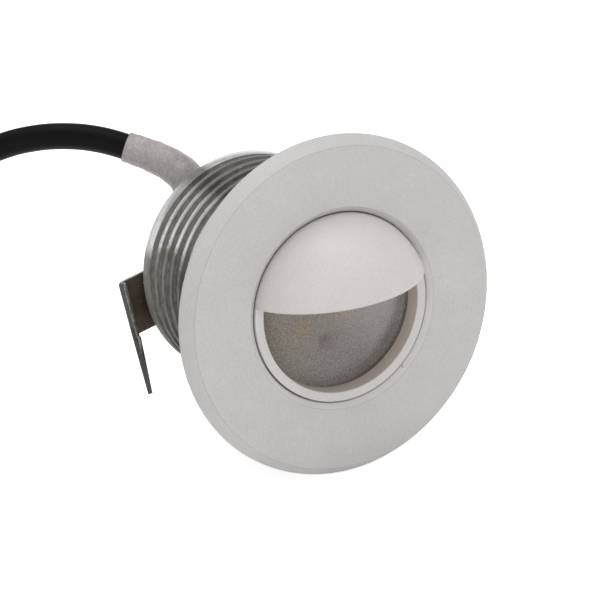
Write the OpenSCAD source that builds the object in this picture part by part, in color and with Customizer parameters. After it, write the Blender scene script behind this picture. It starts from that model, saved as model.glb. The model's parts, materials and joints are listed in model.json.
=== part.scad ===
// Recessed LED step light: a white flange with an eyelid hood, on a grooved aluminium body.
// The wall's face is the plane y = 0. The front looks along -Y and the hood is at the top, +Z.

/* [Front flange] */
// Diameter of the front flange
flange_d = 60; // [56:0.5:80]
// Thickness of the flange in front of the wall
flange_t = 3; // [2.7:0.1:4.5]
// Width of the bevel round the outer edge
edge_bevel_w = 1.6; // [0.4:0.1:3]
// Height of the bevel round the outer edge
edge_bevel_h = 2.4; // [0.5:0.1:2.5]
// Width of the bevel round the bore
bore_bevel_w = 0.9; // [0.3:0.1:1.6]
// Height of the bevel round the bore
bore_bevel_h = 1.25; // [0.4:0.05:1.6]
// Thickness of the lip that keeps the eyelid in
lip_t = 2.2; // [1.8:0.1:2.6]
// Length of the neck that reaches into the wall
neck_l = 5; // [4.6:0.1:6.5]
// Wall of the neck
neck_wall = 1.35; // [1:0.05:1.6]

/* [Eyelid] */
// Outer diameter of the ring that shows
ring_d = 33.3; // [32.6:0.1:35]
// Diameter of the opening that the light comes through
opening_d = 30; // [26:0.1:30.4]
// Depth of the ring's front behind the flange's face
ring_inset = 0.6; // [0.2:0.1:1.2]
// Radius of the ball that the hood is cut from
hood_r = 16.95; // [16.8:0.05:17.6]
// Depth of the ball's centre behind the flange's face
hood_centre = 4.05; // [3:0.05:5]
// Wall of the hood
hood_wall = 1.6; // [1:0.1:2.4]
// Height of the hood's lower edge above the axis
hood_edge_z = 3.9; // [0:0.1:8]
// Thickness of the shoulder that the lip holds
shoulder_t = 1.1; // [0.8:0.1:1.6]

/* [Lens and light] */
// Diameter of the lens
lens_d = 32; // [31:0.1:32.8]
// Thickness of the lens
lens_t = 2; // [1.2:0.1:3]
// Depth of the lens below the front of the housing
lens_recess = 0.35; // [0.2:0.05:1]
// Thickness of the lens gasket
gasket_t = 1; // [0.6:0.1:2]
// Width of the lens gasket
gasket_w = 1.5; // [1:0.1:1.8]
// Depth of the light chamber behind the gasket
chamber_l = 3.75; // [3:0.05:6]
// Wall of the light chamber at its front
chamber_wall = 0.7; // [0.5:0.1:1.7]
// Wall of the light chamber at the LED board
chamber_foot = 3.2; // [2:0.1:3.4]
// Diameter of the LED board
board_d = 29; // [28.4:0.1:29.2]
// Thickness of the LED board
board_t = 1.6; // [1:0.1:2]
// Side of one LED
led_w = 3.5; // [2.8:0.1:4]
// Height of one LED
led_h = 0.8; // [0.5:0.1:1.5]
// Distance between two LEDs in a row
led_pitch = 9; // [7:0.1:9.6]
// Thickness of the thermal pad
pad_t = 0.5; // [0.3:0.1:1]

/* [Housing] */
// Diameter of the housing
body_d = 40.5; // [40:0.1:42]
// Length of the housing behind the wall's face
body_l = 33.9; // [32.5:0.1:42]
// Number of cooling grooves
groove_n = 8; // [4:1:8]
// Width of one groove
groove_w = 1.85; // [1:0.05:2.2]
// Distance from one groove to the next
groove_pitch = 2.95; // [2.6:0.05:3]
// Depth of the grooves
groove_h = 2.2; // [1:0.1:2.3]
// Width of the plain rim at the rear
rim_w = 3; // [2.5:0.1:4]
// Bevel at the rear edge of the rim
rim_bevel = 0.6; // [0.2:0.1:1]
// Thickness of the floor between the light chamber and the driver
floor_t = 4; // [3.5:0.1:5]
// Diameter of the driver's cavity
cavity_d = 30.4; // [30:0.1:31]
// Turn of the body in its flange, seen from the front
body_turn = 7; // [0:1:20]

/* [Rear cover] */
// Width of the cover's seat, outside the cavity
seat_w = 2; // [1.6:0.1:2.3]
// Thickness of the cover
cover_t = 3.1; // [2.8:0.1:4]
// Depth of the cover's seat in the housing
cover_seat = 2.5; // [2.2:0.1:3]
// Distance of the cover's screws from the cavity's wall
screw_inset = 2; // [1.8:0.1:2.4]
// Diameter of the bosses for the cover's screws
boss_d = 5.6; // [5:0.1:6]
// Diameter of the cover's screws
screw_d = 2.5; // [2:0.1:3]
// Diameter of the screw heads
screw_head_d = 4.6; // [3.8:0.1:5]
// Height of the screw heads
screw_head_h = 1.5; // [1:0.1:2]
// Length of the screws inside the housing
screw_grip = 7; // [5:0.1:9]

/* [Spring clips] */
// Width of a clip
clip_w = 10.4; // [8:0.1:12]
// Thickness of the clips' steel
clip_t = 0.7; // [0.5:0.1:0.9]
// Distance of a clip's outer edge from the axis
clip_reach = 24.1; // [22.6:0.1:26]
// Distance of a clip's bend outside the cover
clip_out = 1.6; // [1.2:0.1:2.2]
// Reach of a clip's foot inside the cover's edge
foot_reach = 7.8; // [7:0.1:8.4]
// Forward lean of a clip, in degrees
clip_rake = 8; // [0:1:8]
// Height of the lip along a clip's outer edge
clip_lip = 1.3; // [0.9:0.1:2]
// Length of the tongue below a clip
tongue_l = 11.5; // [6:0.1:14]
// Width of the tongue at its root
tongue_root = 2; // [1.4:0.1:2.6]
// Width of the tongue at its end
tongue_end = 0.8; // [0.5:0.1:1.3]

/* [Driver] */
// Distance between the driver board and the screw bosses
driver_side = 0.6; // [0.4:0.1:1]
// Thickness of the driver board
driver_t = 1.2; // [0.8:0.1:1.6]
// Height of the posts below the driver board
post_h = 3.6; // [3:0.1:4.5]
// Diameter of the posts
post_d = 3.2; // [3:0.1:3.6]
// Distance of the posts from the board's edges
post_inset = 2; // [1.9:0.1:2.2]
// Diameter of the driver's screws and of the LED board's screws
small_screw_d = 1.8; // [1.4:0.1:2]
// Diameter of the inductor
inductor_d = 7.2; // [5:0.1:7.4]
// Height of the inductor
inductor_h = 5.5; // [3:0.1:6]
// Diameter of the capacitor
capacitor_d = 6.3; // [5:0.1:6.4]
// Height of the capacitor
capacitor_h = 8; // [5:0.1:8.2]
// Diameter of the inner wires
wire_d = 1.1; // [0.8:0.1:1.4]

/* [Cable gland] */
// Diameter of the gland's thread
gland_d = 8; // [7.6:0.1:9]
// Width across the flats of the gland's hexagon
gland_flats = 11; // [10.4:0.1:13]
// Height of the gland's hexagon
gland_hex_h = 2; // [1.5:0.1:3]
// Height of the gland's cap
cap_h = 3.5; // [3.2:0.1:6]
// Diameter of the gland's cap
cap_d = 10.4; // [10:0.1:12]
// Thickness of the gland's locknut
locknut_t = 2; // [1.5:0.1:2.4]

/* [Cord] */
// Diameter of the cord
cord_d = 4.8; // [4.4:0.1:5]
// Outer diameter of the label's sleeve, at the lamp's end
sleeve_d = 6.8; // [6:0.1:7.4]
// Outer diameter of the label's sleeve, at its far end
sleeve_end_d = 5.5; // [5.4:0.1:6.4]
// Largest radius of the coil, at the middle of the cord
coil_r = 27.4; // [26:0.1:30]
// Distance between two turns, sideways and upwards
coil_pitch = 5.4; // [5.4:0.1:6]
// Turns of the coil
coil_turns = 2.45; // [2:0.05:2.5]
// Diameter of one core at the cord's bare end
core_d = 1.9; // [1.6:0.1:2]

/* [Clearances] */
// Gap round the eyelid, which turns
turn_gap = 0.2; // [0.15:0.05:0.3]
// Gap between the ring and the flange's bore
ring_gap = 0.25; // [0.2:0.05:0.4]
// Gap between a thread and its mate
thread_gap = 0.1; // [0.05:0.05:0.15]
// Gap round the pieces that lie loose in a pocket
pocket_gap = 0.2; // [0.1:0.05:0.3]
// Gap round a screw in its hole
screw_gap = 0.1; // [0.05:0.05:0.2]
// Gap between a clip's wing and its foot
knuckle_gap = 0.2; // [0.1:0.05:0.3]

/* [Hidden] */
$fn = 96;

// Radii
flange_r = flange_d / 2;
ring_r = ring_d / 2;
bore_r = ring_r + ring_gap;
body_r = body_d / 2;
neck_bore_r = body_r - neck_wall;
shoulder_r = neck_bore_r - turn_gap;
spigot_r = neck_bore_r - thread_gap;
lens_r = lens_d / 2;
lens_pocket_r = lens_r + pocket_gap;
chamber_r = board_d / 2 + pocket_gap;
chamber_bore_r = chamber_r + pocket_gap;
cavity_r = cavity_d / 2;
cover_r = cavity_r + seat_w;
clip_bend_r = cover_r + clip_out;
foot_in_r = cover_r - foot_reach;
screw_ring_r = cavity_r - screw_inset;
driver_w = 2 * (screw_ring_r - boss_d / 2 - driver_side);
post_pitch = driver_w - 2 * post_inset;

// Places along the axis, from the front to the back
face_y = -flange_t;
ring_y = face_y + ring_inset;
lip_y = face_y + lip_t;
shoulder_y = lip_y + turn_gap;
ring_back_y = shoulder_y + shoulder_t;
spigot_y = ring_back_y + turn_gap;
lens_y = spigot_y + lens_recess;
gasket_y = lens_y + lens_t;
ledge_y = gasket_y + gasket_t;
board_y = ledge_y + chamber_l;
pad_y = board_y + board_t;
floor_y = pad_y + pad_t;
cavity_y = floor_y + floor_t;
driver_y = cavity_y + post_h;
seat_y = body_l - cover_seat;
cover_y = seat_y + cover_t;
gland_tube_y = cover_y + gland_hex_h;
cord_y = gland_tube_y + cap_h;
cord_stub = 2;
cord_in_y = seat_y - locknut_t - cord_stub;
hood_y = face_y + hood_centre;

// Gap round a piece that is held without play
snug_gap = 0.05;
// How far a cut reaches past the piece that it cuts
cut = 1;

// O-rings: the section's radius, and the groove's extra width
o_ring_s = 0.6;
cover_ring_s = 0.5;
groove_slack = 0.15;
front_ring_r = neck_bore_r - snug_gap - o_ring_s;
front_ring_y = (spigot_y + neck_l) / 2 + o_ring_s;
cover_ring_r = (cavity_r + cover_r) / 2;

// Screws of the LED board, and the hole for its wires
board_head_d = 3.6;
board_screw_side = 0.7;
board_screw_r = chamber_r - chamber_foot - board_head_d / 2 - board_screw_side;
board_head_h = 1.2;
board_screw_grip = 2.4;
wire_hole_side = 1.4;
wire_hole_z = boss_d / 2 + wire_hole_side - screw_ring_r;
wire_hole_r = 1.9;
wire_pitch = 1.6;

// Turns a piece made along +Z so that it lies along +Y
module along_y(y = 0) { translate([0, y, 0]) rotate([-90, 0, 0]) children(); }

// Turns a piece with the lamp's body
module turned() { rotate([0, -body_turn, 0]) children(); }

// A disc round the axis from y0 to y1, at the place x, z
module disc(r, y0, y1, x = 0, z = 0) {
    translate([x, y0, z]) rotate([-90, 0, 0]) cylinder(r = r, h = y1 - y0);
}

// A ring round the axis from y0 to y1
module band(r_out, r_in, y0, y1) {
    along_y(y0) rotate_extrude() translate([r_in, 0]) square([r_out - r_in, y1 - y0]);
}

// A turned piece whose outline is given as points of radius and y
module turned_on_axis(points) { along_y() rotate_extrude() polygon(points); }

// An O-ring of section radius s
module o_ring(r, s, y) { along_y(y) rotate_extrude() translate([r, 0]) circle(s, $fn = 32); }

// A block from y0 to y1, centred on x, z
module slab(w, h, y0, y1, x = 0, z = 0) { translate([x - w / 2, y0, z - h / 2]) cube([w, y1 - y0, h]); }

// Copies at four places round the axis, the first at the angle given
module four_times(r, first = 0) {
    for (i = [0:3]) rotate([0, 90 * i + first, 0]) translate([r, 0, 0]) children();
}

// Copies at two opposite places
module two_times(r, first = 0) {
    for (i = [0:1]) rotate([0, 180 * i + first, 0]) translate([r, 0, 0]) children();
}

// Copies at the corners of a square
module corners(pitch) { for (x = [-1, 1], z = [-1, 1]) translate([x * pitch / 2, 0, z * pitch / 2]) children(); }

// Copies at two opposite corners of a square
module two_corners(pitch) { for (s = [-1, 1]) translate([s * pitch / 2, 0, s * pitch / 2]) children(); }

// White front ring with a bevelled edge, a lip in front of the eyelid and a threaded neck
module front_flange() color("whitesmoke") turned_on_axis([
    [bore_r + bore_bevel_w, face_y], [flange_r - edge_bevel_w, face_y],
    [flange_r, face_y + edge_bevel_h], [flange_r, 0], [body_r, 0], [body_r, neck_l],
    [neck_bore_r, neck_l], [neck_bore_r, lip_y], [bore_r, lip_y], [bore_r, face_y + bore_bevel_h]
]);

// Ring and half-dome hood, cast in one piece and free to turn behind the lip
module eyelid_bezel() color("white") {
    turned_on_axis([
        [opening_d / 2, ring_y], [ring_r, ring_y], [ring_r, shoulder_y],
        [shoulder_r, shoulder_y], [shoulder_r, ring_back_y], [opening_d / 2, ring_back_y]
    ]);
    difference() {
        translate([0, hood_y, 0]) sphere(hood_r);
        translate([0, hood_y, 0]) sphere(hood_r - hood_wall);
        slab(4 * hood_r, 2 * hood_r, -2 * hood_r, 2 * hood_r, 0, hood_edge_z - hood_r);
        slab(4 * hood_r, 4 * hood_r, ring_y + ring_inset / 2, 3 * hood_r);
    }
}

// Seal between the flange's neck and the housing
module front_o_ring() color("dimgray") o_ring(front_ring_r, o_ring_s, front_ring_y);

// Frosted disc
module lens() color("gainsboro") disc(lens_r, lens_y, gasket_y);

// Flat rubber ring below the lens
module lens_gasket() color("dimgray") band(lens_r, lens_r - gasket_w, gasket_y, ledge_y);

// White cone that keeps the light off the housing
module light_chamber() color("white") turned_on_axis([
    [chamber_r - chamber_wall, ledge_y + pocket_gap], [chamber_r, ledge_y + pocket_gap],
    [chamber_r, board_y], [chamber_r - chamber_foot, board_y]
]);

// Round aluminium-backed board
module led_board() color("ivory") turned() difference() {
    disc(board_d / 2, board_y, pad_y);
    two_times(board_screw_r) disc(small_screw_d / 2 + screw_gap, board_y - cut, pad_y + cut);
    disc(wire_hole_r, board_y - cut, pad_y + cut, 0, wire_hole_z);
}

// Four LEDs, each a white case with a round phosphor window
module led_packages() color("gold") turned() corners(led_pitch) difference() {
    slab(led_w, led_w, board_y - led_h, board_y);
    disc(0.4 * led_w, board_y - led_h - cut, board_y - led_h + led_h / 4);
}

// Two pan-head screws for the LED board
module board_screws() color("silver") turned() two_times(board_screw_r) {
    disc(board_head_d / 2, board_y - board_head_h, board_y);
    disc(small_screw_d / 2, board_y - board_head_h / 2, floor_y + board_screw_grip);
}

// Soft pad that carries the heat into the housing's floor
module thermal_pad() color("lightsteelblue") turned() difference() {
    disc(board_d / 2 - pocket_gap, pad_y, floor_y);
    two_times(board_screw_r) disc(small_screw_d / 2 + screw_gap, pad_y - cut, floor_y + cut);
    disc(wire_hole_r, pad_y - cut, floor_y + cut, 0, wire_hole_z);
}

// Two wires from the driver to the LED board
module led_wires() color("firebrick") turned() for (s = [-1, 1])
    disc(wire_d / 2, board_y - wire_d, driver_y, s * wire_pitch / 2, wire_hole_z);

// One groove, cut from outside
module groove(y) { band(body_r + cut, body_r - groove_h, y, y + groove_w); }

// Turned aluminium body with cooling grooves, a light chamber in front and a driver cavity behind
module housing() color("silver") turned() {
    difference() {
        turned_on_axis([
            [0, floor_y], [chamber_bore_r, floor_y], [chamber_bore_r, ledge_y],
            [lens_pocket_r, ledge_y], [lens_pocket_r, spigot_y], [spigot_r, spigot_y],
            [spigot_r, neck_l], [body_r, neck_l], [body_r, body_l - rim_bevel],
            [body_r - rim_bevel, body_l], [cover_r + pocket_gap, body_l],
            [cover_r + pocket_gap, seat_y], [cavity_r, seat_y], [cavity_r, cavity_y], [0, cavity_y]
        ]);
        for (i = [0:groove_n - 1]) groove(body_l - rim_w - groove_w - i * groove_pitch);
        band(spigot_r + cut, front_ring_r - o_ring_s - snug_gap,
            front_ring_y - o_ring_s - groove_slack, front_ring_y + o_ring_s + groove_slack);
        two_times(board_screw_r)
            disc(small_screw_d / 2 + screw_gap / 2, floor_y - cut, floor_y + board_screw_grip + screw_gap);
        disc(wire_hole_r, floor_y - cut, cavity_y + cut, 0, wire_hole_z);
    }
    four_times(screw_ring_r) difference() {
        disc(boss_d / 2, cavity_y, seat_y);
        disc(screw_d / 2 + screw_gap / 2, seat_y - screw_grip - cut, seat_y + cut);
    }
    corners(post_pitch) difference() {
        disc(post_d / 2, cavity_y, driver_y);
        disc(small_screw_d / 2 + screw_gap / 2, cavity_y + cut, driver_y + cut);
    }
}

// Square circuit board that rests on the four posts
module driver_board() color("seagreen") turned() difference() {
    slab(driver_w, driver_w, driver_y, driver_y + driver_t);
    two_corners(post_pitch) disc(small_screw_d / 2 + screw_gap, driver_y - cut, driver_y + driver_t + cut);
}

// Two screws that hold the driver board
module driver_screws() color("silver") turned() two_corners(post_pitch) {
    disc(board_head_d / 2, driver_y + driver_t, driver_y + driver_t + board_head_h);
    disc(small_screw_d / 2, driver_y - board_screw_grip + screw_gap, driver_y + driver_t + 0.1);
}

// The driver's parts: place and size of each as a share of the board's side
inductor_at = 0.22 * driver_w;
capacitor_at = 0.24 * driver_w;
chip_x = -0.17 * driver_w;
chip_z = -0.18 * driver_w;
chip_w = 0.23 * driver_w;
chip_h = 0.18 * driver_w;
diode_at = 0.13 * driver_w;
diode_w = 0.06 * driver_w;
diode_l = 0.1 * driver_w;
diode_pitch = 1.5 * [diode_w, diode_l];
chip_t = 1.6;
diode_t = 1;
drum_t = 1;
drum_lip = 0.8;

// Places a piece on the driver board
module on_driver(x, z) { translate([x, driver_y + driver_t, z]) children(); }

// Drum-core inductor
module driver_inductor() color("saddlebrown") turned() on_driver(-inductor_at, inductor_at) {
    disc(inductor_d / 2, 0, drum_t);
    disc(inductor_d / 2 - drum_lip, drum_t, inductor_h - drum_t);
    disc(inductor_d / 2, inductor_h - drum_t, inductor_h);
}

// Upright electrolytic capacitor
module driver_capacitor() color("black") turned()
    on_driver(capacitor_at, -capacitor_at) disc(capacitor_d / 2, 0, capacitor_h);

// Controller chip and four diodes
module driver_chips() color("darkslategray") turned() {
    on_driver(chip_x, chip_z) slab(chip_w, chip_h, 0, chip_t);
    for (i = [0, 1], k = [0, 1])
        on_driver(diode_at + i * diode_pitch.x, diode_at + k * diode_pitch.y) slab(diode_w, diode_l, 0, diode_t);
}

// Two wires from the cord to the driver board
module supply_wires() color("steelblue") turned() for (s = [-1, 1])
    disc(wire_d / 2, driver_y + driver_t, cord_in_y, s * wire_pitch / 2, 0);

// Seal under the rear cover
module cover_o_ring() color("dimgray") o_ring(cover_ring_r, cover_ring_s, seat_y + cover_ring_s);

// Rear cover with four screw holes and the gland's hole
module rear_cover() color("gray") turned() difference() {
    disc(cover_r, seat_y, cover_y);
    band(cover_ring_r + cover_ring_s + snug_gap, cover_ring_r - cover_ring_s - snug_gap,
        seat_y - cut, seat_y + 2 * cover_ring_s);
    four_times(screw_ring_r) disc(screw_d / 2 + screw_gap, seat_y - cut, cover_y + cut);
    disc(gland_d / 2 + thread_gap, seat_y - cut, cover_y + cut);
}

// A pan-head screw with a cross slot, whose head rests at y
slot_w = 0.6;
module cover_screw(y) {
    slot_l = screw_head_d / 2;
    difference() {
        disc(screw_head_d / 2, y, y + screw_head_h);
        slab(slot_l, slot_w, y + screw_head_h / 2, y + screw_head_h + cut);
        slab(slot_w, slot_l, y + screw_head_h / 2, y + screw_head_h + cut);
    }
    disc(screw_d / 2, seat_y - screw_grip, y + screw_head_h / 4);
}

// The two screws that hold the cover alone
module cover_screws() color("silver") turned() two_times(screw_ring_r, 90) cover_screw(cover_y);

// The two screws that hold the cover and the clips
module clip_screws() color("silver") turned() two_times(screw_ring_r) cover_screw(cover_y + clip_t);

// Fixed foot of the clip on the +X side, screwed to the cover
module clip_foot() {
    foot_out_r = clip_bend_r - clip_t / 2 - knuckle_gap;
    difference() {
        slab(foot_out_r - foot_in_r, clip_w, cover_y, cover_y + clip_t, (foot_out_r + foot_in_r) / 2);
        disc(screw_d / 2 + screw_gap, cover_y - cut, cover_y + clip_t + cut, screw_ring_r);
    }
}

// Springy wing of the clip on the +X side, with its outer lip and its tongue pointing down
module clip_wing() {
    span = (clip_reach - clip_bend_r) / cos(clip_rake);
    translate([clip_bend_r, cover_y + clip_t / 2, 0]) rotate([0, 0, -clip_rake]) {
        translate([0, 0, -clip_w / 2]) cylinder(d = clip_t, h = clip_w, $fn = 24);
        translate([0, -clip_t / 2, -clip_w / 2]) cube([span, clip_t, clip_w]);
        translate([span - clip_t, -clip_lip, -clip_w / 2]) cube([clip_t, clip_lip, clip_w]);
        translate([span - clip_t, 0, -clip_w / 2]) rotate([90, 0, 90]) linear_extrude(clip_t) polygon([
            [clip_t / 2, 0], [clip_t / 2 - tongue_end / 4, -tongue_l],
            [clip_t / 2 - tongue_end, -tongue_l], [clip_t / 2 - tongue_root, 0]
        ]);
    }
}

module clip_foot_left() color("dimgray") turned() mirror([1, 0, 0]) clip_foot();
module clip_foot_right() color("dimgray") turned() clip_foot();
module clip_wing_left() color("dimgray") turned() mirror([1, 0, 0]) clip_wing();
module clip_wing_right() color("dimgray") turned() clip_wing();

// Parts of the gland: tube and seal sizes follow the thread
gland_wall = 1;
cap_wall = 1.2;
tube_end = 0.5;
seal_foot = 1;
gland_tube_r = gland_d / 2;
gland_bore_r = gland_tube_r - gland_wall;
seal_r = gland_bore_r - snug_gap;
cap_bore_r = gland_tube_r + thread_gap;
cord_hole_r = cord_d / 2 + snug_gap;
gland_seal_y = cover_y - seal_foot;
gland_mouth_y = cord_y - cap_wall - pocket_gap;

// Threaded tube with a hexagon that rests on the cover
module gland_body() color("dimgray") difference() {
    union() {
        disc(gland_tube_r, seat_y - locknut_t - tube_end, gland_mouth_y);
        along_y(cover_y) cylinder(d = gland_flats / cos(30), h = gland_hex_h, $fn = 6);
    }
    disc(gland_bore_r, gland_seal_y, cord_y + cut);
    disc(cord_hole_r + pocket_gap, 0, cord_y);
}

// Nut that holds the gland from inside
module gland_locknut() color("dimgray") difference() {
    along_y(seat_y - locknut_t) cylinder(d = gland_flats / cos(30), h = locknut_t, $fn = 6);
    disc(gland_tube_r + thread_gap / 2, seat_y - locknut_t - cut, seat_y + cut);
}

// Rubber sleeve that grips the cord
module gland_seal() color("black") band(seal_r, cord_hole_r, gland_seal_y, gland_mouth_y);

// Cap that presses the seal, with a rounded mouth for the cord
module gland_cap() color("dimgray") difference() {
    turned_on_axis([
        [0, gland_tube_y], [cap_d / 2, gland_tube_y], [cap_d / 2, cord_y - cap_wall],
        [cap_d / 2 - cap_wall, cord_y], [0, cord_y]
    ]);
    disc(cap_bore_r, gland_tube_y - cut, cord_y - cap_wall);
    disc(cord_hole_r + snug_gap, 0, cord_y + cut);
}

// The cord inside its gland
module cord_entry() color("black") disc(cord_d / 2, cord_in_y, cord_y);

// The surface that the coil lies on, which is as low as the flange reaches
floor_z = -30;
tie_t = 0.6;
tie_gap = 0.3;
tie_lift = 0.1;
coil_z = floor_z + tie_t + tie_lift + cord_d / 2;
coil_x = -79;
coil_y = 58;
coil_start = 72;
loop_rings = 24;
cord_sides = 10;

// Route of the free cord: out of the gland, up and over to the left, then down to its coil
route = [
    [0, 40, 0], [0, 43.5, 0.6], [0, 46.6, 2.6], [-0.1, 48.7, 5.9], [-0.7, 49.5, 9.5],
    [-1.8, 50, 12.8], [-3.3, 51, 14.7], [-5.1, 52.3, 16.2], [-7.4, 54, 17.8], [-9.8, 56, 19.1],
    [-13.5, 59.5, 20.7], [-18, 63.5, 21.6], [-23, 67.3, 21.6], [-28, 70.6, 20.6],
    [-33, 73.6, 18.5], [-37.5, 76, 15], [-41.2, 77.8, 10.4], [-44.2, 79, 5], [-46.6, 79.8, -1],
    [-48.8, 80.2, -7], [-50.8, 80.3, -13], [-53.6, 80.5, -18.5], [-57.3, 80.8, -23],
    [-61.7, 81.5, -26]
];
// The stretch of the route that the label's sleeve covers
sleeve_from = 4;
sleeve_to = 9;
sleeve_gap = 0.15;

function unit(v) = v / norm(v);
function clamp(v, low, high) = max(low, min(high, v));

// Directions along a route, with the first and the last one given
function directions(p, first, last) = [
    for (i = [0:len(p) - 1])
        i == 0 ? first : i == len(p) - 1 ? last : unit(p[i + 1] - p[i - 1])
];

// Sideways directions that don't twist along the route
function sideways(t, start) = [
    for (i = 0, s = unit(start - (start * t[0]) * t[0]); i < len(t);
        i = i + 1, s = i < len(t) ? unit(s - (s * t[i]) * t[i]) : s) s
];

// Points of the rings round a route; r holds one radius per ring
function ring_points(p, t, s, r, n) = [
    for (i = [0:len(p) - 1], k = [0:n - 1])
        p[i] + r[i] * (cos(360 * k / n) * s[i] + sin(360 * k / n) * cross(t[i], s[i]))
];

// Two triangles for each side between ring a and ring b
function wall_faces(a, b, n) = [
    for (k = [0:n - 1], h = [0, 1])
        h == 0 ? [a + k, b + k, b + (k + 1) % n] : [a + k, b + (k + 1) % n, a + (k + 1) % n]
];

// Triangles that close ring a
function cap_faces(a, n, flip) = [
    for (k = [1:n - 2]) flip ? [a, a + k + 1, a + k] : [a, a + k, a + k + 1]
];

function tube_faces(count, n) = concat(
    [for (i = [0:count - 2]) each wall_faces(i * n, (i + 1) * n, n)],
    cap_faces(0, n, false), cap_faces((count - 1) * n, n, true)
);

// A solid tube along a route
module tube(p, first, last, r, n, start = [1, 0, 0]) {
    t = directions(p, first, last);
    points = ring_points(p, t, sideways(t, start), [for (q = p) r], n);
    polyhedron(points, tube_faces(len(p), n));
}

// A tube with a bore; the outer radius runs from r0 to r1
module sleeve(p, first, last, r0, r1, bore, n) {
    t = directions(p, first, last);
    s = sideways(t, [1, 0, 0]);
    last_ring = len(p) - 1;
    outer = ring_points(p, t, s, [for (i = [0:last_ring]) r0 + (r1 - r0) * i / last_ring], n);
    inner = ring_points(p, t, s, [for (q = p) bore], n);
    m = len(outer);
    polyhedron(concat(outer, inner), concat(
        [for (i = [0:last_ring - 1]) each wall_faces(i * n, (i + 1) * n, n)],
        [for (i = [0:last_ring - 1]) each wall_faces(m + (i + 1) * n, m + i * n, n)],
        wall_faces(m, 0, n), wall_faces(last_ring * n, m + last_ring * n, n)
    ));
}

// The coil: one layer winds in, climbs where it turns back, and winds out on top
coil_turn_back = 1.25;
coil_climb = 0.5;
function coil_level(t) = clamp((t - coil_turn_back) / coil_climb + 0.5, 0, 1);
function coil_radius(t) = coil_r - coil_pitch * (coil_turn_back - abs(t - coil_turn_back));
function coil_at(t) = [
    coil_x + coil_radius(t) * cos(coil_start + 360 * t),
    coil_y + coil_radius(t) * sin(coil_start + 360 * t),
    coil_z + coil_pitch * coil_level(t)
];
function coil_heading(t) = [-sin(coil_start + 360 * t), cos(coil_start + 360 * t), 0];
coil_steps = round(coil_turns * loop_rings);
coil_loops = [for (i = [0:coil_steps]) coil_at(i * coil_turns / coil_steps)];
coil_in = coil_heading(0);
coil_out = coil_heading(coil_turns);
coil_from = coil_at(0) - cord_d * coil_in;
coil_to = coil_at(coil_turns) + cord_d * coil_out;
coil_path = concat([coil_from], coil_loops, [coil_to]);
cord_path = concat(route, [coil_from]);

// Least distance between turns, and the cord's length, printed for whoever changes the coil
turn_gaps = [
    for (i = [0:coil_steps], j = [i + loop_rings / 2:1:coil_steps])
        norm(coil_loops[i] - coil_loops[j]) - cord_d
];
function length_of(p) = let (steps = [for (i = [1:len(p) - 1]) norm(p[i] - p[i - 1])]) steps * [for (s = steps) 1];
echo(least_gap_in_coil = min(turn_gaps), cord_length = length_of(cord_path) + length_of(coil_path));

// The free cord from the gland to its coil
module cord_run() color("black") tube(cord_path, [0, 1, 0], coil_in, cord_d / 2, cord_sides);

// Printed sleeve shrunk round the cord, left blank, thicker towards the lamp
module label_sleeve() color("lightgray") {
    part = [for (i = [sleeve_from:sleeve_to]) route[i]];
    before = unit(route[sleeve_from + 1] - route[sleeve_from - 1]);
    after = unit(route[sleeve_to + 1] - route[sleeve_to - 1]);
    sleeve(part, before, after, sleeve_d / 2, sleeve_end_d / 2, cord_d / 2 + sleeve_gap, cord_sides);
}

// The spare cord, wound in a round coil
module cord_coil() color("black") tube(coil_path, coil_in, coil_out, cord_d / 2, 6, [0, 0, 1]);

// Strap round the coil
tie_turn = 0.106;
tie_angle = coil_start + 360 * tie_turn;
tie_w = 3;
module coil_tie() color("dimgray") {
    inside = coil_radius(tie_turn + 1) - cord_d / 2 - tie_gap;
    outside = coil_radius(tie_turn) + cord_d / 2 + tie_gap;
    height = coil_pitch + cord_d + tie_gap + tie_lift;
    translate([coil_x, coil_y, floor_z + tie_t]) rotate([90, 0, tie_angle])
        translate([inside, 0, -tie_w / 2]) linear_extrude(tie_w) difference() {
            translate([-tie_t, -tie_t]) square([outside - inside + 2 * tie_t, height + 2 * tie_t]);
            square([outside - inside, height]);
        }
}

// One core at the bare end: it droops from the coil's top layer to the surface
core_steps = 6;
core_step = 3;
core_gap = 0.1;
core_spread = 0.036;
core_droop = 0.12;
core_side = cross([0, 0, 1], coil_out);
function core_at(side, k) = coil_to + core_step * k * coil_out
    + side * core_side * (core_d / 2 + core_gap + core_spread * k * k) - [0, 0, core_droop * k * k];
function core_path(side) = [for (k = [0:core_steps]) core_at(side, k)];
function core_end(side) = unit(core_at(side, core_steps) - core_at(side, core_steps - 1));
module core(side) tube(core_path(side), coil_out, core_end(side), core_d / 2, 8, [0, 0, 1]);
module core_brown() color("saddlebrown") core(1);
module core_blue() color("royalblue") core(-1);

// Tinned ends of the two cores
tip_l = 6;
tip_d = 1;
module core_tips() color("silver") for (side = [-1, 1]) {
    from = core_at(side, core_steps);
    along = core_end(side);
    tube([from, from + tip_l * along], along, along, tip_d / 2, 8, [0, 0, 1]);
}

front_flange();
eyelid_bezel();
front_o_ring();
lens();
lens_gasket();
light_chamber();
led_board();
led_packages();
board_screws();
thermal_pad();
led_wires();
housing();
driver_board();
driver_screws();
driver_inductor();
driver_capacitor();
driver_chips();
supply_wires();
cover_o_ring();
rear_cover();
cover_screws();
clip_screws();
clip_foot_left();
clip_foot_right();
clip_wing_left();
clip_wing_right();
gland_body();
gland_locknut();
gland_seal();
gland_cap();
cord_entry();
cord_run();
label_sleeve();
cord_coil();
coil_tie();
core_brown();
core_blue();
core_tips();
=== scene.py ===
"""A recessed LED step light: white flange and eyelid hood, grooved body, spring clips and lead."""
import json
import math
from functools import reduce

import bpy
from mathutils import Matrix, Vector


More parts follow.
